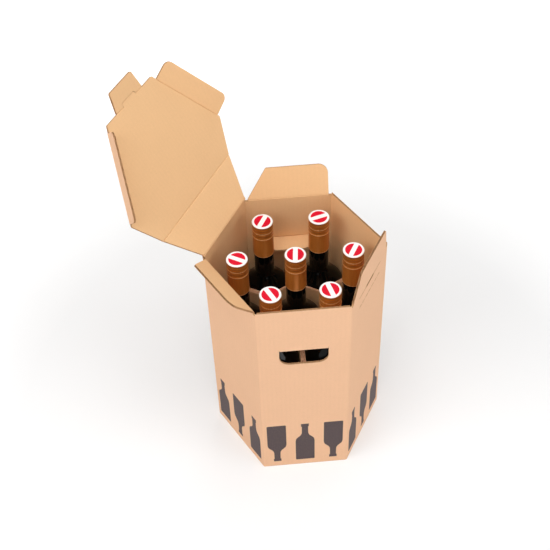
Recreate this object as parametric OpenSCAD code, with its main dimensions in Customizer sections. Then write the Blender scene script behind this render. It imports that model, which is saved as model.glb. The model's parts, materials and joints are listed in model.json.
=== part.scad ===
// Hexagonal shipping box for seven tall bottles, with its lid swung open.
// Origin: centre of the box's underside. +Z up. The plain front wall with a hand hole faces -Y.
// Walls are named by the direction their outside faces, counted in degrees from +X.

/* [Bottles] */
// Diameter of a bottle's body
bottle_d = 73.5; // [66:0.5:82]
// Height of a bottle with its cap on
bottle_h = 346; // [320:1:380]
// Height of the straight part of a bottle's body
body_h = 211; // [150:1:220]
// Height of a bottle's neck with its cap on, above the shoulder
neck_h = 95; // [70:1:110]
// Height of the push-up in a bottle's base
punt_h = 14; // [6:1:25]
// Rounding of a bottle's base edge
heel_r = 5; // [2:0.5:8]

/* [Screw caps] */
// Diameter of a screw cap
cap_d = 30; // [28:0.5:32]
// Length of a screw cap's skirt
cap_h = 60; // [40:1:64]
// Thickness of the cap's metal
cap_t = 0.4; // [0.3:0.05:0.6]
// Rounding of the cap's top edge
cap_edge_r = 1.2; // [0.5:0.1:2]
// Depth of the grooves rolled into the cap
groove_t = 0.22; // [0.1:0.02:0.25]
// Half width of a rolled groove
groove_w = 0.9; // [0.5:0.1:1.5]

/* [Board] */
// Thickness of the corrugated board
board_t = 2.8; // [2:0.1:4]
// Rounding of the board's outside at an upright corner
corner_r = 3; // [1:0.5:6]
// Play between the outer bottles and the walls
wall_play = 1.15; // [0.5:0.05:3]
// Room between the caps and the plain rims
headroom = 8.4; // [5:0.1:30]

/* [Partitions] */
// Depth of the partitions' top below the hand holes
divider_drop = 3.4; // [2:0.2:60]
// Play between a bottle and the partition beside it
bottle_play = 0.65; // [0.4:0.05:2]
// Gap between the two boards of a double partition
layer_gap = 0.6; // [0.4:0.1:2]
// Gap between the partitions' ends and the wall
end_gap = 0.8; // [0.4:0.1:3]

/* [Hand holes] */
// Width of a hand hole
handle_w = 68; // [60:1:72]
// Height of a hand hole
handle_h = 30; // [26:1:32]
// Rounding of a hand hole's lower corners
handle_r = 15; // [13:0.5:16]
// Depth of a hand hole's top edge below the plain rims
handle_drop = 81; // [70:1:100]
// Play round the push-in flap of a hand hole
handle_play = 0.5; // [0.3:0.1:1]
// Fold of the front hand hole's flap, inward from the wall
front_handle_fold = 112; // [0:1:118]
// Fold of the rear hand hole's flap, inward from the wall
rear_handle_fold = 90; // [0:1:118]

/* [Rim flaps] */
// Depth of the flaps on the rim
flap_d = 47; // [30:1:55]
// Slope of a side flap's end beside the lid, measured along the rim
flap_slant = 29; // [20:1:40]
// Rounding of a side flap's corner away from the lid
flap_r = 14; // [5:1:20]
// Gap between a flap's end and the box's corner
flap_inset = 5; // [2:0.5:8]
// Slope of the lock flap's two ends, measured along the rim
lock_flap_slant = 17; // [12:1:30]
// Rounding of the flaps' sharper corners
tip_r = 3; // [1:0.5:6]
// Outward lean of the rear flap
rear_flap_lean = 20; // [-90:1:90]
// Outward lean of the left flap
left_flap_lean = 43; // [-90:1:90]
// Outward lean of the lock flap
lock_flap_lean = 5; // [-90:1:90]

/* [Lid] */
// Opening of the lid, from closed
lid_open = 133; // [0:1:205]
// Bend of the lid at its crease
lid_bend = 10.5; // [0:0.5:20]
// Distance of the lid's crease from its hinge
crease_d = 58; // [30:1:90]
// Gap between the closed lid and the folded rim flaps
lid_play = 1.5; // [0.3:0.1:3]
// Distance of the lid's two free edges inside the box's outside
lid_inset = 2.2; // [1.5:0.1:6]
// Depth of the two tuck flaps
tuck_d = 31; // [20:1:36]
// Half width of a tuck flap at its fold
tuck_half_w = 60; // [45:0.5:61]
// Slope of a tuck flap's ends, measured along the fold
tuck_slant = 1; // [0.5:0.5:12]
// Rounding of a tuck flap's corners
tuck_r = 10; // [4:1:14]
// Play between a tuck flap and the wall inside which it goes
tuck_play = 0.6; // [0.4:0.1:2]
// Fold of the right tuck flap, inward from the lid
right_tuck_fold = 28; // [0:1:105]
// Fold of the front tuck flap, inward from the lid
front_tuck_fold = 60; // [0:1:105]

/* [Lid lock] */
// Width of the lock tab at its fold
tab_w = 65; // [50:1:90]
// Depth of the lock tab
tab_d = 28.5; // [20:0.5:34]
// Slope of the lock tab's ends, measured along the fold
tab_slant = 6; // [2:1:12]
// Fold of the lock tab, inward from the lid
tab_fold = 10; // [0:1:90]
// Gap between the folded lock tab and the wall outside which it goes
tab_play = 1.2; // [0.5:0.1:4]
// Width of the tongue cut out of the lock tab
tongue_w = 31; // [20:1:40]
// Depth of the tongue
tongue_d = 5.5; // [3:0.5:8]
// Slope of the tongue's ends
tongue_slant = 3; // [1:0.5:6]
// Play round the tongue
tongue_play = 0.5; // [0.3:0.1:1]
// Length of the lock slot
slot_w = 76; // [66:1:100]
// Width of the slot's cut
slot_t = 1.2; // [0.5:0.1:2]
// Length of the slot's opened middle
slot_mid_w = 24; // [10:1:40]
// Width of the slot's opened middle
slot_mid_t = 4; // [1.5:0.1:5]
// Depth of the slot below the plain rims
slot_drop = 12; // [8:1:20]
// Depth of the perforated line below the plain rims
perforation_drop = 32; // [25:1:45]

/* [Hidden] */
$fn = 64;

kraft = [0.86, 0.68, 0.50];
kraft_inner = [0.83, 0.65, 0.43];
glass = [0.05, 0.06, 0.05];
copper = [0.52, 0.29, 0.13];

// Directions of the walls
hex_step = 60;
hex_half = hex_step / 2;
right_angle = 90;
right_wall = hex_half;
rear_wall = right_wall + hex_step;
hinge_wall = rear_wall + hex_step;
left_wall = hinge_wall + hex_step;
front_wall = left_wall + hex_step;
lock_wall = front_wall + hex_step;

// One overrun for every cut
over = 1;
// Gap between two boards at a fold, and the slope that a fold crushes the board to
fold_gap = 0.3;
fold_slope = 30;
fold_ramp = board_t / 2 / tan(fold_slope);
// Gap round the outer panel of the box's bottom
floor_gap = 0.8;
// Gap between a bottle's finish and its cap
cap_play = 0.3;

// Spacing of the bottles, and the box that holds them
bottle_r = bottle_d / 2;
pitch = bottle_d + 2 * (bottle_play + board_t) + layer_gap;
inner_apothem = pitch * cos(hex_half) + bottle_r + wall_play;
apothem = inner_apothem + board_t;
mid_apothem = apothem - board_t / 2;
side_w = 2 * apothem * tan(hex_half);
half_side = side_w / 2;
floor_t = 2 * board_t;
wall_h = floor_t + bottle_h + headroom;

// Heights of the folds: the closed lid lies on top of the folded rim flaps
rim_z = wall_h - board_t / 2;
lid_z = rim_z + board_t + lid_play;
handle_z = wall_h - handle_drop;
divider_h = handle_z - handle_h - divider_drop - floor_t;

// Distances of the lid's edges from the box's axis when it is closed
lid_side = apothem - lid_inset;
tuck_fold_at = inner_apothem - tuck_play - board_t / 2;
tab_fold_at = apothem + tab_play + board_t / 2;

// Bottle and cap
neck_r = cap_d / 2 - cap_t - cap_play;
shoulder_h = bottle_h - neck_h - body_h;
shoulder_steps = 14;
arc_step = 15;
punt_share = 0.72;
groove_shares = [0.15, 0.2, 0.25, 0.3, 0.38];

// Perforated line under the lock slot
perforation_count = 7;
perforation_fill_share = 0.72;

// Places of the bottles in plan: six round one
function bottle_at(i) = i > 6 ? [0, 0] : pitch * [cos(hex_step * (i - 1)), sin(hex_step * (i - 1))];
// Point where two lines meet, each given by its normal's direction and its distance
function meet(a, p, b, q) =
    [p * sin(b) - q * sin(a), q * cos(a) - p * cos(b)] / sin(b - a);
function unit(v) = v / norm(v);
function half_corner(p, a, b) = acos(unit(a - p) * unit(b - p)) / 2;
// Half width of the lid between its two free edges, at a distance from the hinge
function lid_half_w(d) = (lid_side + (d - mid_apothem) * sin(hex_half)) / cos(hex_half);

// Outline with each corner rounded by its own radius
module rounded_outline(points, radii) {
    n = len(points);
    corners = [for (i = [0:n - 1])
        let (p = points[i], a = points[(i + n - 1) % n], b = points[(i + 1) % n])
        [p, unit(a - p), unit(b - p), half_corner(p, a, b), radii[i]]];
    polygon([for (c = corners)
        each (c[4] == 0 ? [c[0]] : [c[0] + c[1] * c[4] / tan(c[3]), c[0] + c[2] * c[4] / tan(c[3])])]);
    for (c = corners)
        if (c[4] > 0) translate(c[0] + unit(c[1] + c[2]) * c[4] / sin(c[3])) circle(c[4]);
}

module hexagon(flat) {
    r = flat / cos(hex_half);
    polygon([for (i = [0:5]) r * [cos(hex_step * i), sin(hex_step * i)]]);
}

// Stands children on a wall's middle plane: X along the wall, Y up, Z outward
module at_wall(direction, z) {
    rotate([0, 0, direction + right_angle]) translate([0, -mid_apothem, z])
        rotate([right_angle, 0, 0]) children();
}

module board(points, radii) {
    linear_extrude(board_t, center = true) rounded_outline(points, radii);
}

// Crushes the board to a ridge along a fold on the X axis, keeping what lies at +Y
module fold_cut(w, reach = over) {
    nose = fold_gap / 2;
    face = board_t / 2;
    rotate([right_angle, 0, right_angle]) linear_extrude(w, center = true) polygon([
        [nose, nose * tan(fold_slope)], [fold_ramp, face], [fold_ramp, face + over],
        [-reach, face + over], [-reach, -face - over], [fold_ramp, -face - over],
        [fold_ramp, -face], [nose, -nose * tan(fold_slope)]]);
}

// Hand hole hanging from the X axis, with some play taken off
module handle_outline(play) {
    half_w = handle_w / 2 - play;
    depth = handle_h - play;
    r = handle_r - play;
    rounded_outline([[-half_w, -depth], [half_w, -depth], [half_w, 0], [-half_w, 0]], [r, r, 0, 0]);
}

module handle_hole(direction) {
    at_wall(direction, handle_z) {
        linear_extrude(board_t + 2 * over, center = true) handle_outline(0);
        fold_cut(handle_w);
    }
}

module plain_rim(direction) {
    drop = lid_z - wall_h + over;
    at_wall(direction, wall_h) translate([0, drop / 2, 0])
        cube([side_w, drop, board_t + 2 * over], center = true);
}

module folded_rim(direction, z) {
    at_wall(direction, z) mirror([0, 1, 0]) fold_cut(side_w, lid_z - z + over);
}

// Slot for the lid's lock tab, and the perforated line that lets the wall give under it
module lock_slot() {
    depth = board_t + 2 * over;
    dash = slot_w / perforation_count;
    at_wall(lock_wall, wall_h) {
        translate([0, -slot_drop, 0]) {
            cube([slot_w, slot_t, depth], center = true);
            cube([slot_mid_w, slot_mid_t, depth], center = true);
        }
        for (i = [0:perforation_count - 1])
            translate([(i - (perforation_count - 1) / 2) * dash, -perforation_drop, 0])
                cube([dash * perforation_fill_share, slot_t, depth], center = true);
    }
}

// Outer panel of the bottom: hinged under one wall, loose round the other five
module bottom_panel() {
    loose = inner_apothem - floor_gap;
    reach = [for (i = [0:5]) hex_half + hex_step * i == hinge_wall ? mid_apothem : loose];
    polygon([for (i = [0:5])
        meet(hex_half + hex_step * i, reach[i], hex_half + hex_step * (i + 1), reach[(i + 1) % 6])]);
}

module carton() {
    outside_r = apothem / cos(hex_half);
    color(kraft) difference() {
        union() {
            linear_extrude(lid_z) difference() {
                rounded_outline([for (i = [0:5]) outside_r * [cos(hex_step * i), sin(hex_step * i)]],
                    [for (i = [0:5]) corner_r]);
                hexagon(inner_apothem);
            }
            translate([0, 0, board_t]) linear_extrude(board_t) hexagon(mid_apothem);
            linear_extrude(board_t) bottom_panel();
        }
        plain_rim(right_wall);
        plain_rim(front_wall);
        folded_rim(rear_wall, rim_z);
        folded_rim(left_wall, rim_z);
        folded_rim(lock_wall, rim_z);
        folded_rim(hinge_wall, lid_z);
        handle_hole(front_wall);
        handle_hole(rear_wall);
        lock_slot();
    }
}

// One partition: a panel against the middle bottle with a wing on either side of an outer one
module divider(i) {
    near = bottle_r + bottle_play;
    far = near + board_t;
    back = layer_gap / 2;
    wing_from = near / cos(hex_half);
    wing_to = inner_apothem - end_gap;
    half_w = function (d) d * tan(hex_half) - back / cos(hex_half);
    color(kraft_inner) rotate([0, 0, hex_step * (i - 1)]) translate([0, 0, floor_t])
        linear_extrude(divider_h) {
            polygon([[near, -half_w(near)], [far, -half_w(far)], [far, half_w(far)], [near, half_w(near)]]);
            rotate(-hex_half) translate([wing_from, back]) square([wing_to - wing_from, board_t]);
            rotate(hex_half) translate([wing_from, -back - board_t]) square([wing_to - wing_from, board_t]);
        }
}

module bottle(i) {
    glass_h = bottle_h - cap_t;
    color(glass) translate(concat(bottle_at(i), floor_t)) rotate_extrude() polygon(concat(
        [[0, punt_h], [bottle_r * punt_share, 0]],
        [for (a = [0:arc_step:right_angle])
            [bottle_r - heel_r + heel_r * sin(a), heel_r - heel_r * cos(a)]],
        [for (k = [0:shoulder_steps]) let (t = k / shoulder_steps)
            [neck_r + (bottle_r - neck_r) * (1 + cos(2 * right_angle * t)) / 2,
             body_h + shoulder_h * t]],
        [[neck_r, glass_h], [0, glass_h]]));
}

module cap(i) {
    r = cap_d / 2;
    bore = r - cap_t;
    color(copper) translate(concat(bottle_at(i), floor_t + bottle_h)) rotate_extrude() polygon(concat(
        [[0, 0]],
        [for (a = [0:arc_step:right_angle])
            [r - cap_edge_r + cap_edge_r * sin(a), cap_edge_r * cos(a) - cap_edge_r]],
        [for (s = groove_shares) each
            [[r, groove_w - cap_h * s], [r - groove_t, -cap_h * s], [r, -groove_w - cap_h * s]]],
        [[r, -cap_h], [bore, -cap_h], [bore, -cap_t], [0, -cap_t]]));
}

// Rim flap that slopes away from the lid at one end and is rounded at the other
module side_flap(direction, lean, lid_end) {
    start = half_side - flap_inset;
    at_wall(direction, rim_z) rotate([lean, 0, 0]) mirror([lid_end < 0 ? 1 : 0, 0, 0]) difference() {
        board([[start, 0], [start - flap_slant, flap_d], [-start, flap_d], [-start, 0]],
            [0, tip_r, flap_r, 0]);
        fold_cut(side_w);
    }
}

module rear_flap() {
    color(kraft) side_flap(rear_wall, rear_flap_lean, 1);
}

module left_flap() {
    color(kraft) side_flap(left_wall, left_flap_lean, -1);
}

module lock_flap() {
    start = half_side - flap_inset;
    end = start - lock_flap_slant;
    color(kraft) at_wall(lock_wall, rim_z) rotate([lock_flap_lean, 0, 0]) difference() {
        board([[start, 0], [end, flap_d], [-end, flap_d], [-start, 0]], [0, tip_r, tip_r, 0]);
        fold_cut(side_w);
    }
}

module handle_flap(direction, fold) {
    at_wall(direction, handle_z) rotate([fold, 0, 0]) difference() {
        linear_extrude(board_t, center = true) handle_outline(handle_play);
        mirror([0, 1, 0]) fold_cut(handle_w);
    }
}

module front_handle_flap() {
    color(kraft) handle_flap(front_wall, front_handle_fold);
}

module rear_handle_flap() {
    color(kraft) handle_flap(rear_wall, rear_handle_fold);
}

// Lid frames: X along the hinge, Y away from it, Z to the outside
module on_lid() {
    at_wall(hinge_wall, lid_z) rotate([lid_open - right_angle, 0, 0]) children();
}

module on_lid_panel() {
    on_lid() translate([0, crease_d, 0]) rotate([-lid_bend, 0, 0]) children();
}

// A fold of the lid's far panel, given by its direction in the lid's plane: Y points outward
module at_lid_edge(direction, distance) {
    translate([0, mid_apothem - crease_d, 0]) rotate([0, 0, direction - right_angle])
        translate([0, distance, 0]) children();
}

// Directions of the lid's edges in its own plane
right_tuck_edge = right_angle + hex_step;
tab_edge = right_angle;
front_tuck_edge = right_angle - hex_step;
free_edge = -hex_half;

module tongue_outline(play) {
    half_w = tongue_w / 2 + play;
    polygon([[-half_w, -fold_ramp], [half_w, -fold_ramp], [half_w, tongue_d + play],
             [tongue_slant - half_w, tongue_d + play], [-half_w, tongue_d + play - tongue_slant]]);
}

module lid_hinge_panel() {
    near = lid_half_w(0);
    far = lid_half_w(crease_d);
    color(kraft) on_lid() difference() {
        board([[-near, 0], [near, 0], [far, crease_d], [-far, crease_d]], [0, 0, 0, 0]);
        fold_cut(side_w);
        translate([0, crease_d, 0]) mirror([0, 1, 0]) fold_cut(2 * side_w);
    }
}

module lid_panel() {
    near = lid_half_w(crease_d);
    centre = [0, mid_apothem - crease_d];
    wide = centre + meet(free_edge, lid_side, front_tuck_edge, tuck_fold_at);
    tip = centre + meet(front_tuck_edge, tuck_fold_at, tab_edge, tab_fold_at);
    ridge_w = (tab_w - tongue_w) / 2 - tongue_play;
    color(kraft) on_lid_panel() {
        difference() {
            board([[-near, 0], [near, 0], wide, tip, [-tip[0], tip[1]], [-wide[0], wide[1]]],
                [0, 0, tip_r, tip_r, tip_r, tip_r]);
            fold_cut(2 * side_w);
            for (edge = [front_tuck_edge, right_tuck_edge])
                at_lid_edge(edge, tuck_fold_at) mirror([0, 1, 0]) fold_cut(2 * tuck_half_w);
            for (end = [-1, 1])
                at_lid_edge(tab_edge, tab_fold_at) translate([end * (tab_w - ridge_w) / 2, 0, 0])
                    mirror([0, 1, 0]) fold_cut(ridge_w);
        }
        at_lid_edge(tab_edge, tab_fold_at) linear_extrude(board_t, center = true) tongue_outline(0);
    }
}

module tuck_flap(edge, fold) {
    tip = tuck_half_w - tuck_slant;
    on_lid_panel() at_lid_edge(edge, tuck_fold_at) rotate([-fold, 0, 0]) difference() {
        board([[tuck_half_w, 0], [tip, tuck_d], [-tip, tuck_d], [-tuck_half_w, 0]],
            [0, tuck_r, tuck_r, 0]);
        fold_cut(side_w);
    }
}

module right_tuck_flap() {
    color(kraft) tuck_flap(right_tuck_edge, right_tuck_fold);
}

module front_tuck_flap() {
    color(kraft) tuck_flap(front_tuck_edge, front_tuck_fold);
}

module lock_tab() {
    start = tab_w / 2;
    end = start - tab_slant;
    color(kraft) on_lid_panel() at_lid_edge(tab_edge, tab_fold_at) rotate([-tab_fold, 0, 0]) difference() {
        board([[start, 0], [end, tab_d], [-end, tab_d], [-start, 0]], [0, tip_r, tip_r, 0]);
        fold_cut(side_w);
        linear_extrude(board_t + 2 * over, center = true) tongue_outline(tongue_play);
    }
}

carton();
for (i = [1:6]) divider(i);
for (i = [1:7]) bottle(i);
for (i = [1:7]) cap(i);
lid_hinge_panel();
lid_panel();
right_tuck_flap();
front_tuck_flap();
lock_tab();
rear_flap();
left_flap();
lock_flap();
front_handle_flap();
rear_handle_flap();
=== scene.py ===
import json
import math

import bmesh
import bpy
import numpy as np
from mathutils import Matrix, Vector


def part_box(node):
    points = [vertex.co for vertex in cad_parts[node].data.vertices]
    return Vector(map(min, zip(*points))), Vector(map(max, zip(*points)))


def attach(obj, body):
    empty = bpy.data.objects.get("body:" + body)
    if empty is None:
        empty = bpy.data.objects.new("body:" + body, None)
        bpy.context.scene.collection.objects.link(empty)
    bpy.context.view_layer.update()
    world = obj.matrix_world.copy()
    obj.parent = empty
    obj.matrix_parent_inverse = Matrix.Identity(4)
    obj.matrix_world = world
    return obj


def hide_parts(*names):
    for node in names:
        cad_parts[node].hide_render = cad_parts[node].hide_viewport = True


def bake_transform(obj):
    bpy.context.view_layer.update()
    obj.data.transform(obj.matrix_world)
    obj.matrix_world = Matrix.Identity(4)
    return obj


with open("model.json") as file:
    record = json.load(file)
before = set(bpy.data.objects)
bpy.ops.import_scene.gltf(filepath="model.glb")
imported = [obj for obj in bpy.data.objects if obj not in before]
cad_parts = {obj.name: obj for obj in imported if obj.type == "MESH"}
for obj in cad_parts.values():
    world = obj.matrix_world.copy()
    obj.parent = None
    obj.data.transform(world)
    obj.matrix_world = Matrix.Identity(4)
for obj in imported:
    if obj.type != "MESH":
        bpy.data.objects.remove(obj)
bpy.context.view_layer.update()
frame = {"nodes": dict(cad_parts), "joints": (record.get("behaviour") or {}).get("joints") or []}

nodes = frame["nodes"]
joints = {joint["name"]: joint for joint in frame["joints"]}
mm = 0.001
upward = Vector((0, 0, 1))
plainWhite = (1, 1, 1, 1)


# Small helpers for node trees

def paint(red, green, blue):  # a colour as it should show in even light, 0 to 255
    def linear(value):
        share = value / 255
        return share / 12.92 if share <= 0.04045 else ((share + 0.055) / 1.055) ** 2.4
    return (linear(red), linear(green), linear(blue), 1)


def feed(tree, socket, source):
    if isinstance(source, bpy.types.NodeSocket):
        tree.links.new(source, socket)
    else:
        socket.default_value = source


def addNode(tree, kind, sources=None, **settings):
    node = tree.nodes.new("ShaderNode" + kind)
    for key, value in settings.items():
        setattr(node, key, value)
    for label, source in (sources or {}).items():
        feed(tree, node.inputs[label], source)
    return node


def calc(tree, operation, *sources, clamp=False):
    node = addNode(tree, "Math", operation=operation, use_clamp=clamp)
    for socket, source in zip(node.inputs, sources):
        feed(tree, socket, source)
    return node.outputs[0]


def mixColour(tree, factor, first, second, blend="MIX"):
    node = addNode(tree, "Mix", data_type="RGBA", blend_type=blend)
    for place, source in ((0, factor), (6, first), (7, second)):   # sockets for mixing colours
        feed(tree, node.inputs[place], source)
    return node.outputs[2]


def noise(tree, vector, scale, detail=2.0, roughness=0.55):
    node = addNode(tree, "TexNoise", {"Vector": vector, "Scale": scale, "Detail": detail,
                                      "Roughness": roughness})
    return node.outputs["Fac"]


def remap(tree, value, low, high, toLow=0.0, toHigh=1.0):
    node = addNode(tree, "MapRange", {"Value": value, "From Min": low, "From Max": high,
                                      "To Min": toLow, "To Max": toHigh})
    return node.outputs["Result"]


def newGroup(name, inputs, outputs):
    group = bpy.data.node_groups.new(name, "ShaderNodeTree")
    for label, kind, value in inputs:
        socket = group.interface.new_socket(name=label, in_out="INPUT", socket_type="NodeSocket" + kind)
        socket.default_value = value
    for label, kind in outputs:
        group.interface.new_socket(name=label, in_out="OUTPUT", socket_type="NodeSocket" + kind)
    return group, group.nodes.new("NodeGroupInput").outputs, group.nodes.new("NodeGroupOutput").inputs


def placeGroup(tree, group, **sources):
    node = tree.nodes.new("ShaderNodeGroup")
    node.node_tree = group
    for label, source in sources.items():
        feed(tree, node.inputs[label], source)
    return node.outputs


def newMaterial(name, **plain):  # plain values go straight on the shader's own sockets
    material = bpy.data.materials.new(name)
    material.use_nodes = True
    tree = material.node_tree
    tree.nodes.clear()
    output = tree.nodes.new("ShaderNodeOutputMaterial")
    shader = addNode(tree, "BsdfPrincipled")
    for label, value in plain.items():
        shader.inputs[label].default_value = value
    tree.links.new(shader.outputs["BSDF"], output.inputs["Surface"])
    return material, tree, shader


# Corrugated board

board = {
    "liner": 0.32 * mm,          # thickness of the flat papers
    "medium": 0.26 * mm,         # thickness of the fluted paper
    "flutePitch": 6.4 * mm,
    "columnsPerFlute": 14,
    "recess": 0.2 * mm,          # the flutes lie this far behind a cut edge
    "foldSteps": 12,             # steps round a fold
    "foldStepsPerFlute": 4,      # steps along it
    "foldRipple": 0.06 * mm,     # flutes that show through at a fold
    "scoreDepth": 0.8 * mm,      # groove pressed into the inside of a fold
    "scoreShare": 0.17,          # its half width, as a share of the fold
    "rampGap": 0.03 * mm,        # crushed faces lie this far back, so that folded boards don't touch
}
kraft = {
    "outer": paint(243, 195, 157),
    "inner": paint(234, 189, 140),
    "edge": paint(200, 155, 112),   # cut edges and the fluted paper, darker partly through the fluting's own brown and partly as painted shade in slots and on edges seen from their shaded side
    "roughness": 0.86,
    "gloss": 0.25,
    "mottle": 0.055,
    "fleck": 0.16,
    "bump": 0.17,
    "bumpDepth": 0.35 * mm,
    "warp": 0.3,
    "warpDepth": 1.5 * mm,
}
fibreLook = {                      # scales of noise are per metre
    "cloud": 15,                   # broad patches of tone
    "clump": 330,
    "stretch": (130, 1300, 1),     # fibres lie across the flutes
    "speck": 1900,
    "speckRange": (0.68, 0.76),    # only the highest spots of the noise are specks
    "warp": 11,
    "middle": 1.5,                 # mean of the three noises added together
    "fluteTone": 0.005,            # how far the flutes show through, as tone and as height
    "fluteHeight": 0.06,
    "fibreHeight": 0.5,
    "clumpHeight": 0.3,
}


def makePaperFibre():
    group, given, result = newGroup(
        "paperFibre",
        [("Colour", "Color", plainWhite), ("Mottle", "Float", kraft["mottle"]),
         ("Fleck", "Float", kraft["fleck"]), ("Flute", "Float", 1.0)],
        [("Colour", "Color"), ("Height", "Float"), ("Warp", "Float")])
    spot = addNode(group, "TexCoord").outputs["Object"]
    sheet = addNode(group, "Attribute", attribute_name="sheet").outputs["Vector"]
    stretched = addNode(group, "VectorMath", operation="MULTIPLY")
    feed(group, stretched.inputs[0], sheet)
    feed(group, stretched.inputs[1], fibreLook["stretch"])
    cloud = noise(group, spot, fibreLook["cloud"], detail=3)
    clump = noise(group, spot, fibreLook["clump"])
    fibre = noise(group, stretched.outputs[0], 1, detail=3)
    speck = remap(group, noise(group, spot, fibreLook["speck"], detail=1), *fibreLook["speckRange"])
    across = addNode(group, "SeparateXYZ", {"Vector": sheet}).outputs["X"]
    ridge = calc(group, "SINE", calc(group, "MULTIPLY", across, 2 * math.pi / board["flutePitch"]))
    spread = calc(group, "ADD", calc(group, "ADD", cloud, clump), fibre)
    spread = calc(group, "MULTIPLY", calc(group, "SUBTRACT", spread, fibreLook["middle"]), given["Mottle"])
    ridge = calc(group, "MULTIPLY", ridge, given["Flute"])
    shine = calc(group, "MULTIPLY", ridge, fibreLook["fluteTone"])
    tone = calc(group, "ADD", calc(group, "ADD", spread, shine), 1)
    tone = calc(group, "SUBTRACT", tone, calc(group, "MULTIPLY", speck, given["Fleck"]))
    grey = addNode(group, "CombineColor", {"Red": tone, "Green": tone, "Blue": tone}).outputs[0]
    feed(group, result["Colour"], mixColour(group, 1.0, given["Colour"], grey, "MULTIPLY"))
    rough = calc(group, "ADD", calc(group, "MULTIPLY", fibre, fibreLook["fibreHeight"]),
                 calc(group, "MULTIPLY", clump, fibreLook["clumpHeight"]))
    wave = calc(group, "MULTIPLY", ridge, fibreLook["fluteHeight"])
    feed(group, result["Height"], calc(group, "ADD", rough, wave))
    feed(group, result["Warp"], noise(group, spot, fibreLook["warp"], detail=1))
    return group


paperFibre = makePaperFibre()


def makeKraft(name, colour, flute=1.0, artwork=None):
    material, tree, shader = newMaterial(name, Roughness=kraft["roughness"])
    shader.inputs["Specular IOR Level"].default_value = kraft["gloss"]
    paper = placeGroup(tree, paperFibre, Colour=colour, Mottle=kraft["mottle"],
                       Fleck=kraft["fleck"], Flute=flute)
    shade = paper["Colour"]
    if artwork:
        mask = printMask(tree, artwork)
        shade = mixColour(tree, mask, shade, artwork["ink"])
        rough = remap(tree, mask, 0, 1, kraft["roughness"], artwork["roughness"])
        feed(tree, shader.inputs["Roughness"], rough)
    feed(tree, shader.inputs["Base Color"], shade)
    warp = addNode(tree, "Bump", {"Height": paper["Warp"], "Strength": kraft["warp"],
                                  "Distance": kraft["warpDepth"]})
    bump = addNode(tree, "Bump", {"Height": paper["Height"], "Strength": kraft["bump"],
                                  "Distance": kraft["bumpDepth"], "Normal": warp.outputs["Normal"]})
    feed(tree, shader.inputs["Normal"], bump.outputs["Normal"])
    return material


# Print on the outside: a frieze of bottle shapes, upright and upside down in turn
frieze = {
    "ink": paint(82, 70, 72),
    "roughness": 0.62,
    "perWall": 3,
    "foot": 12 * mm,
    "height": 93 * mm,
    "halfWidth": 14.5 * mm,
    "blur": 0.25 * mm,
    "wornShare": 0.06,
    "wornScale": 900,
    "wornRange": (0.45, 0.75),
    # a bottle's half widths at heights from its foot, as shares
    "bodyShares": [(0.0, 0.9), (0.02, 1.0), (0.5, 1.0), (0.57, 0.96), (0.64, 0.72), (0.7, 0.44),
                   (0.76, 0.34)],
    "neckShares": [(0.925, 0.33), (0.93, 0.41), (1.0, 0.41)],
}


def printMask(tree, look):
    sheet = addNode(tree, "Attribute", attribute_name="sheet").outputs["Vector"]
    split = addNode(tree, "SeparateXYZ", {"Vector": sheet}).outputs
    step = carton["side"] / look["perWall"]
    cell = calc(tree, "DIVIDE", split["X"], step)
    place = calc(tree, "ROUND", cell)
    aside = calc(tree, "ABSOLUTE", calc(tree, "MULTIPLY", calc(tree, "SUBTRACT", cell, place), step))
    turned = calc(tree, "PINGPONG", place, 1.0)
    rise = calc(tree, "DIVIDE", calc(tree, "SUBTRACT", split["Y"], look["foot"]), look["height"])
    low = calc(tree, "GREATER_THAN", rise, 0.0)
    high = calc(tree, "LESS_THAN", rise, 1.0)
    flipped = calc(tree, "SUBTRACT", 1.0, rise)
    rise = calc(tree, "ADD", calc(tree, "MULTIPLY", rise, calc(tree, "SUBTRACT", 1.0, turned)),
                calc(tree, "MULTIPLY", flipped, turned))
    curve = addNode(tree, "FloatCurve", {"Value": rise})
    points = curve.mapping.curves[0].points
    outline = [(share, "AUTO_CLAMPED") for share in look["bodyShares"]]
    outline += [(share, "VECTOR") for share in look["neckShares"]]
    while len(points) < len(outline):
        points.new(0.5, 0.5)
    for point, (share, handle) in zip(points, outline):
        point.location = share
        point.handle_type = handle
    curve.mapping.update()
    half = calc(tree, "MULTIPLY", curve.outputs[0], look["halfWidth"])
    inside = calc(tree, "DIVIDE", calc(tree, "SUBTRACT", half, aside), look["blur"], clamp=True)
    inside = calc(tree, "MULTIPLY", inside, calc(tree, "MULTIPLY", low, high))
    inside = calc(tree, "MULTIPLY", inside, split["Z"])      # only on the flat of a wall
    spot = addNode(tree, "TexCoord").outputs["Object"]
    rubbed = noise(tree, spot, look["wornScale"], detail=3)
    worn = remap(tree, rubbed, *look["wornRange"], 1.0, 1.0 - look["wornShare"])
    return calc(tree, "MULTIPLY", inside, worn)


# Reading the frame's boards
reading = {
    "weld": 0.002 * mm,       # points nearer than this are one
    "sliver": 1e-12,          # twice the area of a triangle too thin to have a direction
    "same": 0.01 * mm,        # lengths that differ by less are equal
    "joined": 0.05 * mm,      # stretches of a fold nearer than this run on
    "offFold": 0.1 * mm,      # a panel's own edge starts at least this far from its fold
    "nearFace": 0.3 * mm,     # the inside papers of a wall lie within this of its inside
    "facingDigits": 3,        # directions that agree to these decimals are one
    "foldReach": 2,           # in board thicknesses, how far from its axis a fold can end
    "broadSide": 2,           # in board thicknesses, how wide a partition's side is at least
    "skinShare": 0.2,         # of the board, rounded corners of the outside lie within it
    # cosines between a face and the way its board faces
    "inPlane": 0.9999,
    "broad": 0.999,
    "wall": 0.8,
    "slanted": 0.5,
    "upright": 0.1,           # for a standing face, from straight up
}


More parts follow.
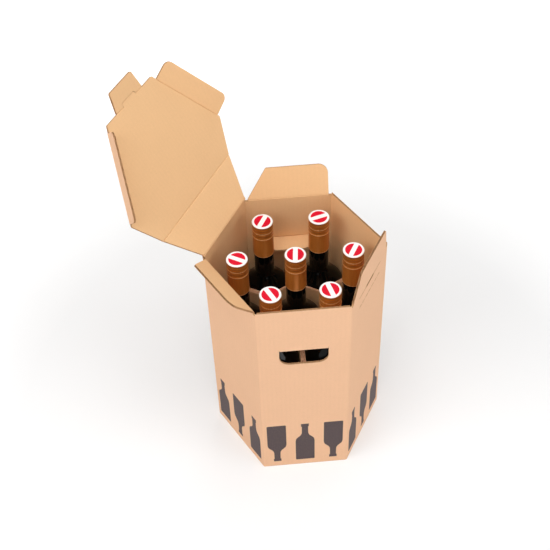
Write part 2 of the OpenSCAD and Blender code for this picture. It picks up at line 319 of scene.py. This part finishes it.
def weldedMesh(name):
    shape = bmesh.new()
    shape.from_mesh(nodes[name].data)
    bmesh.ops.remove_doubles(shape, verts=shape.verts, dist=reading["weld"])
    bmesh.ops.triangulate(shape, faces=shape.faces)
    shape.verts.index_update()
    points = np.array([v.co[:] for v in shape.verts])
    tris = np.array([[v.index for v in f.verts] for f in shape.faces])
    shape.free()
    edgeA = points[tris[:, 1]] - points[tris[:, 0]]
    edgeB = points[tris[:, 2]] - points[tris[:, 0]]
    cross = np.cross(edgeA, edgeB)
    size = np.linalg.norm(cross, axis=1)
    keep = size > reading["sliver"]
    tris, cross, size = tris[keep], cross[keep], size[keep]
    return {"points": points, "tris": tris, "normals": cross / size[:, None], "areas": size / 2,
            "centres": points[tris].mean(1)}


def openEdges(tris):
    directed = {(int(t[i]), int(t[(i + 1) % 3])) for t in tris for i in range(3)}
    return [edge for edge in directed if (edge[1], edge[0]) not in directed]


def newBuild():
    return {"points": [], "sheet": [], "faces": [], "slots": [], "smooth": []}


def perFace(value, faces):
    return value if isinstance(value, list) else [value] * len(faces)


def addFaces(build, points, faces, slot, sheetOf, smooth=False, printed=True):
    used = sorted({i for face in faces for i in face})
    places = {old: len(build["points"]) + new for new, old in enumerate(used)}
    spots = {i: sheetOf(points[i]) for i in used}
    build["points"] += [tuple(points[i]) for i in used]
    build["faces"] += [[places[i] for i in face] for face in faces]
    build["slots"] += perFace(slot, faces)
    build["smooth"] += perFace(smooth, faces)
    for face, shown in zip(faces, perFace(printed, faces)):
        build["sheet"] += [(spots[i][0], spots[i][1], spots[i][2] * shown) for i in face]


def addPaper(build, mesh, chosen, slots, sheetOf, rounded=None):
    # one flat paper of the board: the CAD faces, a back behind them and a cut edge round them
    tris = mesh["tris"][chosen]
    used, inverse = np.unique(tris, return_inverse=True)
    tris = inverse.reshape(tris.shape)
    points = mesh["points"][used]
    flat = mesh["normals"][chosen]
    facings = [set() for _ in points]       # each direction counts once at a corner, however large its face
    for tri, facing in zip(tris.tolist(), np.round(flat, reading["facingDigits"]).tolist()):
        for i in tri:
            facings[i].add(tuple(facing))
    normals = np.array([np.sum(sorted(facing), axis=0) for facing in facings])
    normals /= np.linalg.norm(normals, axis=1)[:, None]
    slack = np.ones(len(points))
    for corner in range(3):
        np.minimum.at(slack, tris[:, corner], (normals[tris[:, corner]] * flat).sum(1))
    back = points - normals * (board["liner"] / slack)[:, None]
    count = len(points)
    rim = [[b, a, a + count, b + count] for a, b in openEdges(tris)]
    hidden = len(tris) + len(rim)
    curved = [False] * len(tris) if rounded is None else rounded[chosen].tolist()
    front, behind = slots
    addFaces(build, np.vstack([points, back]), tris.tolist() + (tris[:, ::-1] + count).tolist() + rim,
             [front] * len(tris) + [behind] * hidden, sheetOf,
             curved + [False] * hidden, [not bent for bent in curved] + [False] * hidden)


def setBack(mesh, chosen, depth):
    # the same faces with each corner moved in from every face that meets there
    points = mesh["points"].copy()
    for i in np.unique(mesh["tris"][chosen]):
        around = mesh["normals"][(mesh["tris"] == i).any(1)]
        facings = np.unique(np.round(around, reading["facingDigits"]), axis=0)
        points[i] += np.linalg.lstsq(facings, np.full(len(facings), -depth), rcond=None)[0]
    return {**mesh, "points": points}


def crossings(loops, at):
    found = []
    for a, b in loops:
        if (a[0] <= at) != (b[0] <= at):
            found.append(a[1] + (b[1] - a[1]) * (at - a[0]) / (b[0] - a[0]))
    found.sort()
    return [(low + board["recess"], high - board["recess"]) for low, high in zip(found[::2], found[1::2])
            if high - low > 2 * board["recess"]]


def addFlutes(build, mesh, chosen, across, flute, outward, thickness, slot, sheetOf):
    # the fluted paper between the two flat ones, cut to the face's outline
    tris = mesh["tris"][chosen]
    points = mesh["points"]
    flat = np.stack([points @ np.array(across), points @ np.array(flute)], axis=1)
    edges = [(flat[a], flat[b]) for a, b in openEdges(tris)]
    level = float((mesh["centres"][chosen] @ np.array(outward)).mean()) - thickness / 2
    swing = (thickness - 2 * board["liner"] - board["medium"]) / 2
    ends = flat[np.unique(tris)][:, 0]
    step = board["flutePitch"] / board["columnsPerFlute"]
    columns = np.arange(ends.min() + board["recess"], ends.max() - board["recess"], step)
    runs = []
    spans = []
    for at in columns:
        cuts = crossings(edges, at)
        if len(cuts) != len(spans):
            spans = [[] for _ in cuts]
            runs += spans
        for span, (low, high) in zip(spans, cuts):
            turn = 2 * math.pi * at / board["flutePitch"]
            wave = level + swing * math.sin(turn)
            slope = 2 * math.pi * swing / board["flutePitch"] * math.cos(turn)
            skin = board["medium"] / 2 * math.hypot(1, slope)
            span.append((at, low, high, wave - skin, wave + skin))
    for span in runs:
        ring = []       # four corners for each column
        for at, low, high, inner, outer in span:
            for along, lift in ((low, outer), (high, outer), (high, inner), (low, inner)):
                ring.append(across * at + flute * along + outward * lift)
        faces = []
        for i in range(len(span) - 1):
            for k in range(4):
                here, there = 4 * i + k, 4 * i + (k + 1) % 4
                faces.append([here, here + 4, there + 4, there])
        if faces:
            last = 4 * (len(span) - 1)
            faces += [[0, 1, 2, 3], [last + 3, last + 2, last + 1, last]]
            addFaces(build, ring, faces, slot, sheetOf, True)


sharpAngle = math.radians(50)     # edges that turn more than this stay crisp


def makePiece(name, build, materials):
    mesh = bpy.data.meshes.new(name)
    mesh.from_pydata(build["points"], [], build["faces"])
    for material in materials:
        mesh.materials.append(material)
    mesh.polygons.foreach_set("material_index", build["slots"])
    mesh.polygons.foreach_set("use_smooth", build["smooth"])
    sheet = mesh.attributes.new("sheet", "FLOAT_VECTOR", "CORNER")
    sheet.data.foreach_set("vector", np.array(build["sheet"], np.float32).ravel())
    mesh.set_sharp_from_angle(angle=sharpAngle)
    mesh.update()
    piece = bpy.data.objects.new(name, mesh)
    bpy.context.scene.collection.objects.link(piece)
    return piece


outerPaper, innerPaper, cutPaper = 0, 1, 2   # material slots of a board


# Folding panels: which joint carries each, and which way it leaves the fold

def readPanel(name, jointName, hangs=False):   # a panel hangs where its fold is its upper edge
    joint = joints[jointName]
    axis = Vector(joint["axis"]).normalized()
    pivot = Vector(joint["pos_m"])
    mesh = weldedMesh(name)
    middle = Vector(np.average(mesh["centres"], axis=0, weights=mesh["areas"])) - pivot
    away = (middle - axis * middle.dot(axis)).normalized()
    outward = away.cross(axis) if hangs else axis.cross(away)
    facing = mesh["normals"] @ np.array(outward)
    outer, inner = facing > reading["broad"], facing < -reading["broad"]
    depth = mesh["centres"] @ np.array(outward)
    return {"name": name, "joint": joint, "axis": axis, "pivot": pivot, "mesh": mesh, "away": away,
            "outward": outward, "outer": outer, "inner": inner, "hangs": hangs, "flute": away,
            "ramp": (np.abs(facing) > reading["slanted"]) & ~outer & ~inner,
            "thickness": float(depth[outer].mean() - depth[inner].mean())}


def buildPanel(panel):
    flute, outward = panel["flute"], panel["outward"]
    across = flute.cross(outward)
    start = panel["pivot"]

    def sheetOf(point):
        offset = Vector(point) - start
        return (offset.dot(across), offset.dot(flute), 0)

    build = newBuild()
    mesh = panel["mesh"]
    addPaper(build, mesh, panel["outer"], (outerPaper, cutPaper), sheetOf)
    addPaper(build, mesh, panel["inner"], (innerPaper, cutPaper), sheetOf)
    crushed = setBack(mesh, panel["ramp"], board["rampGap"])
    addPaper(build, crushed, panel["ramp"], (cutPaper, cutPaper), sheetOf)
    addFlutes(build, mesh, panel["outer"], across, flute, outward, panel["thickness"], cutPaper, sheetOf)
    piece = makePiece(panel["name"] + "_board", build, panelPapers)
    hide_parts(panel["name"])
    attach(piece, panel["joint"]["child"])


def foldSpans(panel, pivot, axis, away, ramp=None):
    # stretches of a panel's edge that lie along a fold, and how far the fold is crushed
    points = panel["mesh"]["points"] - np.array(pivot)
    along = points @ np.array(axis)
    reach = points @ np.array(away)
    near = [(a, b) for a, b in openEdges(panel["mesh"]["tris"][panel["outer"]])
            if abs(reach[a] - reach[b]) < reading["same"]
            and reading["offFold"] < reach[a] < reading["foldReach"] * panel["thickness"]]
    ramp = ramp or min(reach[a] for a, b in near)
    spans = sorted(sorted((along[a], along[b])) for a, b in near
                   if abs(reach[a] - ramp) < reading["joined"])
    joined = [list(spans[0])]
    for low, high in spans[1:]:
        if low - joined[-1][1] < reading["joined"]:
            joined[-1][1] = high
        else:
            joined.append([low, high])
    return joined, ramp


def buildFold(panel, parentOutward, parentPanel=None):
    # the flat papers run on across the fold and bend with it
    axis, pivot = panel["axis"], panel["pivot"]
    ahead = parentOutward.cross(axis) * (-1 if panel["hangs"] else 1)
    lean = math.atan2(panel["away"].dot(parentOutward), panel["away"].dot(ahead))
    spans, ramp = foldSpans(panel, pivot, axis, panel["away"])
    fromSpans = foldSpans(parentPanel, pivot, axis, -ahead, ramp)[0] if parentPanel else spans
    half = panel["thickness"] / 2
    corner = math.atan2(half, ramp)
    shares = [i / board["foldSteps"] for i in range(board["foldSteps"] + 1)]
    loop = [(share, 0.0) for share in shares] + [(share, board["liner"]) for share in shares[::-1]]
    ring = len(loop)

    for side, label, paper in ((1, "outer", outerKraft), (-1, "inner", innerKraft)):
        scored = board["scoreDepth"] if side < 0 else 0.0

        def sectionPoint(share, depth, ripple=0.0):
            flatTurn = math.pi - corner - (math.pi - 2 * corner) * share
            score = scored * math.exp(-((share - 0.5) / board["scoreShare"]) ** 2)
            radius = half / math.sin(flatTurn) - depth - score + ripple * math.sin(math.pi * share)
            turn = side * flatTurn + lean * share
            return (ahead * math.cos(turn) + parentOutward * math.sin(turn)) * radius

        def sheetOf(point):
            offset = Vector(point) - pivot
            return (offset.dot(axis), offset.dot(panel["away"]), 0)

        build = newBuild()
        for (fromLow, fromHigh), (low, high) in zip(fromSpans, spans):
            count = max(2, math.ceil((high - low) / (board["flutePitch"] / board["foldStepsPerFlute"])))
            points = []
            for i in range(count + 1):
                start = fromLow + (fromHigh - fromLow) * i / count
                end = low + (high - low) * i / count
                ripple = board["foldRipple"] * math.sin(2 * math.pi * end / board["flutePitch"])
                for share, depth in loop:
                    along = axis * (start + (end - start) * share)
                    points.append(pivot + along + sectionPoint(share, depth, ripple))
            faces = []
            for i in range(count):
                for k in range(ring):
                    a, b = i * ring + k, i * ring + (k + 1) % ring
                    faces.append([a, b, b + ring, a + ring])
            faces += [list(range(ring))[::-1], [count * ring + k for k in range(ring)]]
            if (side < 0) == panel["hangs"]:
                faces = [face[::-1] for face in faces]
            addFaces(build, points, faces, 0, sheetOf, True)
        piece = makePiece(f"{panel['joint']['name']}_{label}", build, [paper])
        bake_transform(piece)


# The box itself
wallCount = 6
wallTurn = 2 * math.pi / wallCount


def readCarton():
    mesh = weldedMesh("carton")
    thickness = readPanel("rear_flap", "rear_flap_fold")["thickness"]
    front = Vector((0, -1, 0))
    apothem = float((mesh["points"] @ np.array(front)).max())
    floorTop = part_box("bottle_1")[0].z
    walls = []
    for k in range(wallCount):         # each wall's way out and its way along, from the front wall on
        turn = -math.pi / 2 + k * wallTurn
        outward = Vector((math.cos(turn), math.sin(turn), 0))
        walls.append((outward, upward.cross(outward)))
    return {"mesh": mesh, "thickness": thickness, "apothem": apothem, "floorTop": floorTop, "walls": walls,
            "side": 2 * apothem * math.tan(wallTurn / 2)}


carton = readCarton()


def wallOf(point):
    turn = math.atan2(point[1], point[0]) + math.pi / 2
    return round(turn / wallTurn) % wallCount


def cartonSheet(point):
    k = wallOf(point)
    along = carton["walls"][k][1]
    return (k * carton["side"] + point[0] * along.x + point[1] * along.y, point[2], 1)


def buildCarton():
    mesh = carton["mesh"]
    normals, centres = mesh["normals"], mesh["centres"]
    places = [wallOf(c) for c in centres]
    outwards = np.array([carton["walls"][k][0] for k in places])
    facing = (normals * outwards).sum(1)
    reach = (centres * outwards).sum(1)
    upright = np.abs(normals[:, 2]) < reading["upright"]
    top = mesh["points"][mesh["tris"]][:, :, 2].max(1)
    outFace = carton["apothem"] - reading["skinShare"] * carton["thickness"]
    inFace = carton["apothem"] - carton["thickness"]
    outer = upright & (facing > reading["wall"]) & (reach > outFace)
    inner = upright & (facing < -reading["wall"]) & (np.abs(reach - inFace) < reading["nearFace"])
    ramp = ~upright & (np.abs(facing) > reading["wall"])
    floor = (top < carton["floorTop"] + reading["same"]) & ~outer & ~inner
    flat = facing > reading["inPlane"]
    build = newBuild()
    addPaper(build, mesh, outer, (outerPaper, cutPaper), cartonSheet, ~flat)
    addPaper(build, mesh, inner, (innerPaper, cutPaper), cartonSheet)
    addPaper(build, mesh, ramp & ~floor, (cutPaper, cutPaper), cartonSheet)
    under, over = normals[:, 2] < -reading["slanted"], normals[:, 2] > reading["slanted"]
    addPaper(build, mesh, floor & under, (outerPaper, cutPaper), cartonSheet)
    addPaper(build, mesh, floor & over, (innerPaper, cutPaper), cartonSheet)
    for k, (outward, along) in enumerate(carton["walls"]):
        chosen = outer & flat & (np.array(places) == k)
        addFlutes(build, mesh, chosen, along, upward, outward, carton["thickness"], cutPaper, cartonSheet)
    piece = makePiece("carton_board", build, [printedKraft, innerKraft, cutKraft])
    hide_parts("carton")
    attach(piece, "carton")


dividerFace, dividerEdge = 0, 1     # material slots of a partition


def buildDivider(name):
    mesh = weldedMesh(name)
    normals, areas = mesh["normals"], mesh["areas"]
    upright = np.abs(normals[:, 2]) < reading["upright"]
    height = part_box(name)[1].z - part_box(name)[0].z
    thickness = carton["thickness"]
    depth = (mesh["centres"] * normals).sum(1)
    faces = []     # each flat upright side: normal, distance and the triangles on it
    for i in np.nonzero(upright)[0]:
        for side in faces:
            if normals[i] @ side[0] > reading["inPlane"] and abs(depth[i] - side[1]) < reading["same"]:
                side[2].append(i)
                break
        else:
            faces.append((normals[i], depth[i], [i]))
    leastArea = reading["broadSide"] * thickness * height
    broad = [side for side in faces if areas[side[2]].sum() > leastArea]

    def sheetOf(point):
        return (math.atan2(point[1], point[0]) * carton["apothem"], point[2], 0)

    build = newBuild()
    addPaper(build, mesh, upright, (dividerFace, dividerEdge), sheetOf)
    for normal, distance, members in broad:
        facingSides = [side for side in broad if normal @ side[0] < -reading["inPlane"]
                       and abs(distance + side[1] - thickness) < reading["same"]]
        if not facingSides or areas[members].sum() > areas[facingSides[0][2]].sum():
            continue           # flutes go in once, cut to the smaller of the two sides
        only = np.zeros(len(normals), bool)
        only[members] = True
        outward = Vector(normal)
        across = upward.cross(outward)
        addFlutes(build, mesh, only, across, upward, outward, thickness, dividerEdge, sheetOf)
    # a partition's cut edges and flutes take the lighter outer paper, as painted light on partition tops
    # that sit in shade between the bottles
    piece = makePiece(name + "_board", build, [innerKraft, outerKraft])
    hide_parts(name)
    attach(piece, "carton")


# Papers
printedKraft = makeKraft("printedKraft", kraft["outer"], artwork=frieze)
outerKraft = makeKraft("outerKraft", kraft["outer"])
innerKraft = makeKraft("innerKraft", kraft["inner"])
cutKraft = makeKraft("cutKraft", kraft["edge"], flute=0.0)
panelPapers = [outerKraft, innerKraft, cutKraft]
print("papers made")

buildCarton()
print("carton built")

lidHinge = readPanel("lid_hinge_panel", "lid_hinge")
lid = readPanel("lid_panel", "lid_crease")
lidEdges = [readPanel("right_tuck_flap", "right_tuck_fold"),
            readPanel("front_tuck_flap", "front_tuck_fold"),
            readPanel("lock_tab", "lock_tab_fold")]
for panel in lidEdges:     # one sheet with the lid, so its flutes run on across the fold
    ahead = lid["outward"].cross(panel["axis"])
    panel["flute"] = (panel["axis"] * lid["flute"].dot(panel["axis"])
                      + panel["away"] * lid["flute"].dot(ahead)).normalized()
rimFlaps = [readPanel(name, name + "_fold") for name in ("rear_flap", "left_flap", "lock_flap")]
handleFlaps = [readPanel(side + "_handle_flap", side + "_handle_fold", hangs=True)
               for side in ("front", "rear")]
for panel in [lidHinge, *rimFlaps, *handleFlaps]:
    buildPanel(panel)
    wallOutward = Vector((panel["pivot"].x, panel["pivot"].y, 0)).normalized()
    buildFold(panel, wallOutward)
buildPanel(lid)
buildFold(lid, lidHinge["outward"], lidHinge)
for panel in lidEdges:
    buildPanel(panel)
    buildFold(panel, lid["outward"], lid)
print("lid and flaps built")

for name in sorted(nodes):
    if name.startswith("divider_"):
        buildDivider(name)
print("partitions built")


# Bottles and their screw caps

bottleCount = sum(name.startswith("bottle_") for name in nodes)
glass = {
    "colour": paint(6, 7, 6),
    "gloss": 0.16,
    "roughness": 0.06,
    "ior": 1.52,
    "smear": 2.4,                  # how many times rougher a smeared spot is
    "smearScale": 40,
    "smearRange": (0.3, 0.8),
    "ripple": 0.05,
    "rippleScale": 70,
    "rippleDepth": 0.4 * mm,
    "steps": 96,
    "shoulderSteps": 44,
    "digits": 5,                   # decimals of a metre to which the outline is read
    "roundOff": 0.05 * mm,         # sizes closer than this count as one
}
capLook = {
    "copper": paint(188, 114, 46),
    "copperDark": paint(175, 103, 39),
    # painted highlight colour for the bead, the lip and one thread crest
    "highlightTone": paint(236, 182, 128),
    # painted shade colour, laid in the rolled grooves of the skirt
    "groove": paint(136, 77, 28),
    "white": paint(246, 244, 242),
    "red": paint(214, 14, 44),
    "whiteFinish": (0.42, 0.4),    # roughness and gloss
    "redFinish": (0.4, 0.12),
    "lacquerScale": 500,
    "lacquerRange": (0.2, 0.8),
    "lacquerTone": (0.95, 1.02),
    "lacquerDull": 0.12,           # how much rougher the dull spots are
    "metal": 0.4,
    "ior": 1.5,
    "drawn": (1400, 1400, 40),     # fine lines drawn along the skirt
    "drawnRange": (0.3, 0.7),
    "copperRoughness": (0.3, 0.38),
    "arcSteps": 49,                # steps along each red field's arc
    "endSteps": 11,                # steps across each end of the white band
    "knurlDepth": 0.25 * mm,
    "redShare": 0.79,              # of the cap's radius
    "bandHalfWidth": 3.3 * mm,
    "bandTurns": [62, 17, 62, -30, 116, 104, 84],   # white band on each cap, degrees from +X
    "edgeRound": 1.0 * mm,
    "edgeSteps": 5,
    # depth under the top and how far the skirt swells (+) or is rolled in (-), in mm
    "skirt": [(2.0, 0), (2.4, -0.1), (3.2, -0.1), (3.5, -0.45), (4.4, -0.45), (4.8, 0), (8.2, 0),
              (8.6, -0.4), (9.4, -0.4), (10.2, 0.1), (11.0, 0.1), (11.8, -0.45), (12.6, -0.45),
              (13.4, 0.1), (14.2, 0.1), (15.0, -0.45), (15.8, -0.45), (16.6, 0.1), (17.4, 0.1),
              (18.4, -0.4), (22.4, -0.4), (23.2, -0.1), (23.7, 0.3), (24.2, 0.4), (24.7, 0.3),
              (25.2, -0.15), (26.0, 0), (58.4, 0), (58.8, 0.25), (59.6, 0.25), (60.0, 0)],
    "knurl": (4.8, 8.2),           # depths between which the skirt is knurled, in mm
    "knurlSlack": 0.001 * mm,      # the two ends count too
    # depths given a painted highlight, in mm: one thread crest, the bead and the lower lip
    "lines": [(12.6, 14.2), (23.2, 24.7), (58.4, 59.6)],
    # depths given painted shade, in mm: the rolled grooves
    "grooves": [(3.2, 4.4), (8.2, 9.4), (11.0, 12.6), (14.2, 15.8), (17.4, 18.4), (24.7, 25.2)],
    "thickness": 0.5 * mm,         # of the skirt, grooves and all
    "topThickness": 0.35 * mm,
}


def makeGlass():
    material, tree, shader = newMaterial("darkGlass", IOR=glass["ior"])
    shader.inputs["Specular IOR Level"].default_value = glass["gloss"]
    spot = addNode(tree, "TexCoord").outputs["Object"]
    shader.inputs["Base Color"].default_value = glass["colour"]
    smear = noise(tree, spot, glass["smearScale"], detail=4)
    clean = glass["roughness"]
    rough = remap(tree, smear, *glass["smearRange"], clean, glass["smear"] * clean)
    feed(tree, shader.inputs["Roughness"], rough)
    ripple = noise(tree, spot, glass["rippleScale"], detail=1)
    bump = addNode(tree, "Bump", {"Height": ripple, "Strength": glass["ripple"],
                                  "Distance": glass["rippleDepth"]})
    feed(tree, shader.inputs["Normal"], bump.outputs["Normal"])
    return material


def buildBottle(number, material):
    # the solid's own outline, turned again in smaller steps so that the glass shines evenly
    name = f"bottle_{number}"
    low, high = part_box(name)
    centre = Vector(((low.x + high.x) / 2, (low.y + high.y) / 2, 0))
    solid = weldedMesh(name)["points"] - np.array(centre)
    digits = glass["digits"]
    rings = sorted({(round(z, digits), round(math.hypot(x, y), digits)) for x, y, z in solid.tolist()})
    foot = max(z for z, r in rings if r < glass["roundOff"])     # tip of the hollow under the bottle
    rings = [(z, r) for z, r in rings if r > glass["roundOff"]]
    widest, neck = max(r for z, r in rings), rings[-1][1]
    bodyTop = max(z for z, r in rings if r > widest - glass["roundOff"])
    neckFoot = min(z for z, r in rings if z > bodyTop and r < neck + glass["roundOff"])
    shoulder = []
    for i in range(1, glass["shoulderSteps"]):
        share = i / glass["shoulderSteps"]
        bend = (1 + math.cos(math.pi * share)) / 2
        shoulder.append((bodyTop + (neckFoot - bodyTop) * share, neck + (widest - neck) * bend))
    rings = [ring for ring in rings if ring[0] <= bodyTop] + shoulder + [(neckFoot, neck), rings[-1]]
    count = glass["steps"]
    points = []
    for z, r in rings:
        for i in range(count):
            turn = 2 * math.pi * i / count
            points.append(centre + Vector((r * math.cos(turn), r * math.sin(turn), z)))
    points += [centre + upward * foot, centre + upward * rings[-1][0]]
    footPoint, topPoint, last = len(points) - 2, len(points) - 1, (len(rings) - 1) * count
    faces = []
    for k in range(count):
        after = (k + 1) % count
        faces += [[footPoint, after, k], [topPoint, last + k, last + after]]
        faces += [[i + k, i + after, i + count + after, i + count + k] for i in range(0, last, count)]
    build = newBuild()
    addFaces(build, points, faces, 0, lambda point: (point[0], point[1], 0), True)
    piece = makePiece(name + "_glass", build, [material])
    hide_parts(name)
    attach(piece, "carton")


def makeCopper(name, light, dark):
    material, tree, shader = newMaterial(name, Metallic=capLook["metal"], IOR=capLook["ior"])
    spot = addNode(tree, "TexCoord").outputs["Object"]
    drawn = addNode(tree, "VectorMath", operation="MULTIPLY")
    feed(tree, drawn.inputs[0], spot)
    feed(tree, drawn.inputs[1], capLook["drawn"])
    lines = noise(tree, drawn.outputs[0], 1, detail=3)
    tone = remap(tree, lines, *capLook["drawnRange"])
    rough = remap(tree, lines, *capLook["drawnRange"], *capLook["copperRoughness"])
    feed(tree, shader.inputs["Base Color"], mixColour(tree, tone, dark, light))
    feed(tree, shader.inputs["Roughness"], rough)
    return material


def makeLacquer(name, colour, finish):
    roughness, gloss = finish
    material, tree, shader = newMaterial(name)
    shader.inputs["Specular IOR Level"].default_value = gloss
    spot = addNode(tree, "TexCoord").outputs["Object"]
    cloud = noise(tree, spot, capLook["lacquerScale"], detail=3)
    shade = remap(tree, cloud, *capLook["lacquerRange"], *capLook["lacquerTone"])
    rough = remap(tree, cloud, *capLook["lacquerRange"], roughness, roughness + capLook["lacquerDull"])
    grey = addNode(tree, "CombineColor", {"Red": shade, "Green": shade, "Blue": shade}).outputs[0]
    feed(tree, shader.inputs["Base Color"], mixColour(tree, 1.0, colour, grey, "MULTIPLY"))
    feed(tree, shader.inputs["Roughness"], rough)
    return material


def buildCap(number, materials):
    name = f"cap_{number}"
    low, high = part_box(name)
    centre = Vector(((low.x + high.x) / 2, (low.y + high.y) / 2, high.z))
    radius = (high.x - low.x) / 2
    white, red, copper, highlightTone, groove = range(5)     # the materials' places
    # points round the cap fall on the corners of its two red fields
    redR = capLook["redShare"] * radius
    nip = math.asin(capLook["bandHalfWidth"] / redR)
    arc, end = capLook["arcSteps"], capLook["endSteps"]
    half = [nip + (math.pi - 2 * nip) * i / arc for i in range(arc)]
    half += [math.pi - nip + 2 * nip * i / end for i in range(end)]
    lean = math.radians(capLook["bandTurns"][number - 1])
    turns = [turn + side + lean for side in (0, math.pi) for turn in half]
    count, across = len(turns), len(half)

    # outline from the red fields out over the rounded edge and down the skirt
    bend = capLook["edgeRound"]
    profile = [(redR, 0, white)]
    for i in range(capLook["edgeSteps"] + 1):
        turn = math.pi / 2 * i / capLook["edgeSteps"]
        profile.append((radius - bend + bend * math.sin(turn), bend * math.cos(turn) - bend, white))
    for depth, swell in capLook["skirt"]:
        # painted highlight on one thread crest, the bead and the lower lip
        rubbed = any(first < depth <= last for first, last in capLook["lines"])
        # painted shade goes in the rolled grooves
        dark = any(first < depth <= last for first, last in capLook["grooves"])
        finish = highlightTone if rubbed else groove if dark else copper
        profile.append((radius + swell * mm, -depth * mm, finish))
    inside = radius - capLook["thickness"]
    profile += [(inside, profile[-1][1], copper), (inside, -capLook["topThickness"], copper)]

    points = []
    knurlFrom, knurlTo = (depth * mm for depth in capLook["knurl"])
    slack = capLook["knurlSlack"]
    for r, z, _ in profile:
        knurled = knurlFrom - slack < -z < knurlTo + slack
        for i, turn in enumerate(turns):
            reach = r - capLook["knurlDepth"] * (i % 2) if knurled else r
            points.append(centre + Vector((reach * math.cos(turn), reach * math.sin(turn), z)))
    fields = [list(range(arc + 1)), list(range(across, across + arc + 1))]
    band = [0, *range(arc, across + 1), *range(across + arc, count)]
    ceiling = list(range((len(profile) - 1) * count, len(profile) * count))[::-1]
    faces, slots = [*fields, band, ceiling], [red, red, white, copper]
    flatCount = len(faces) + count      # these and the white rim are flat
    for i in range(len(profile) - 1):
        for k in range(count):
            after = (k + 1) % count
            faces.append([i * count + k, (i + 1) * count + k, (i + 1) * count + after, i * count + after])
        slots += [profile[i + 1][2]] * count
    smooth = [False] * flatCount + [True] * (len(faces) - flatCount)
    build = newBuild()
    addFaces(build, points, faces, slots, lambda point: (point[0], point[1], 0), smooth)
    piece = makePiece(name + "_shell", build, materials)
    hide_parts(name)
    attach(piece, "carton")


darkGlass = makeGlass()
for number in range(1, bottleCount + 1):
    buildBottle(number, darkGlass)
capPaints = [makeLacquer("whiteLacquer", capLook["white"], capLook["whiteFinish"]),
             makeLacquer("redLacquer", capLook["red"], capLook["redFinish"]),
             makeCopper("copperLacquer", capLook["copper"], capLook["copperDark"]),
             # painted highlight lines on the cap
             makeCopper("highlightCopper", capLook["highlightTone"], capLook["copper"]),
             # painted shade for the cap's grooves
             makeCopper("grooveCopper", capLook["copperDark"], capLook["groove"])]
for number in range(1, bottleCount + 1):
    buildCap(number, capPaints)
print("bottles and caps dressed")


# Floor, light and camera

studio = {
    "floorSize": 12.0,
    "floorColour": (0.72, 0.72, 0.72, 1),
    "floorGlow": 0.22,           # near the box, seen by the camera only, so the shadow stays
    "glowReach": (0.45, 1.6),    # distances between which the glow grows to plain white
    "skyStrength": 0.23,
    "lamps": [   # place, power, size
        ((-1.2, -1.7, 2.3), 20, 1.2),
        ((-2.1, -0.9, 2.2), 23.5, 1.2),
        ((0.15, -1.7, 2.1), 7.5, 0.8),
        ((2.1, -1.3, 0.8), 17.5, 1.4),
        ((0.2, -0.4, 3.0), 36, 2.0),
        ((0.7, 2.4, 1.1), 17, 1.6),
    ],
    "aim": (0, 0, 0.25),
}
cameraLook = {
    "azimuth": -3.096,
    "elevation": 47.127,
    "roll": -2.33,
    "distance": 1.6921,
    "target": (-0.02261, 0.12322, 0.18018),
    "lens": 70.37,
}


def straightView(tree):   # rays that should see plain white: from the camera, or off gloss and glass
    path = addNode(tree, "LightPath").outputs
    shiny = calc(tree, "MAXIMUM", path["Is Glossy Ray"], path["Is Transmission Ray"])
    return calc(tree, "MAXIMUM", path["Is Camera Ray"], shiny)


def buildStudio():
    scene = bpy.context.scene
    scene.view_settings.view_transform = "Standard"
    world = bpy.data.worlds.new("softWhite")
    scene.world = world
    world.use_nodes = True
    tree = world.node_tree
    background = tree.nodes["Background"]
    background.inputs["Color"].default_value = plainWhite
    strength = remap(tree, straightView(tree), 0, 1, studio["skyStrength"], 1.0)
    feed(tree, background.inputs["Strength"], strength)

    half = studio["floorSize"] / 2
    mesh = bpy.data.meshes.new("floor")
    corners = [(-half, -half, 0), (half, -half, 0), (half, half, 0), (-half, half, 0)]
    mesh.from_pydata(corners, [], [(0, 1, 2, 3)])
    floor = bpy.data.objects.new("floor", mesh)
    scene.collection.objects.link(floor)
    material, tree, shader = newMaterial("paleFloor", Roughness=1.0)
    shader.inputs["Base Color"].default_value = studio["floorColour"]
    shader.inputs["Specular IOR Level"].default_value = 0.0
    shader.inputs["Emission Color"].default_value = plainWhite
    spot = addNode(tree, "TexCoord").outputs["Object"]
    away = addNode(tree, "VectorMath", {"Vector": spot}, operation="LENGTH").outputs["Value"]
    near, far = studio["glowReach"]
    glow = remap(tree, away, near, far, studio["floorGlow"], 1.0)
    feed(tree, shader.inputs["Emission Strength"], calc(tree, "MULTIPLY", straightView(tree), glow))
    mesh.materials.append(material)

    for number, (place, power, size) in enumerate(studio["lamps"], 1):
        data = bpy.data.lights.new(f"softLamp{number}", "AREA")
        data.energy = power
        data.size = size
        lamp = bpy.data.objects.new(f"softLamp{number}", data)
        lamp.location = place
        towards = Vector(studio["aim"]) - Vector(place)
        lamp.rotation_euler = towards.to_track_quat("-Z", "Y").to_euler()
        scene.collection.objects.link(lamp)


def buildCamera():
    around, height = math.radians(cameraLook["azimuth"]), math.radians(cameraLook["elevation"])
    level = Vector((math.sin(around), -math.cos(around), 0))
    back = level * math.cos(height) + upward * math.sin(height)
    data = bpy.data.cameras.new("camera")
    data.lens = cameraLook["lens"]
    camera = bpy.data.objects.new("camera", data)
    camera.location = Vector(cameraLook["target"]) + back * cameraLook["distance"]
    camera.rotation_euler = (-back).to_track_quat("-Z", "Y").to_euler()
    camera.rotation_euler.rotate_axis("Z", math.radians(cameraLook["roll"]))
    bpy.context.scene.collection.objects.link(camera)
    bpy.context.scene.camera = camera


buildStudio()
buildCamera()
print("studio ready")
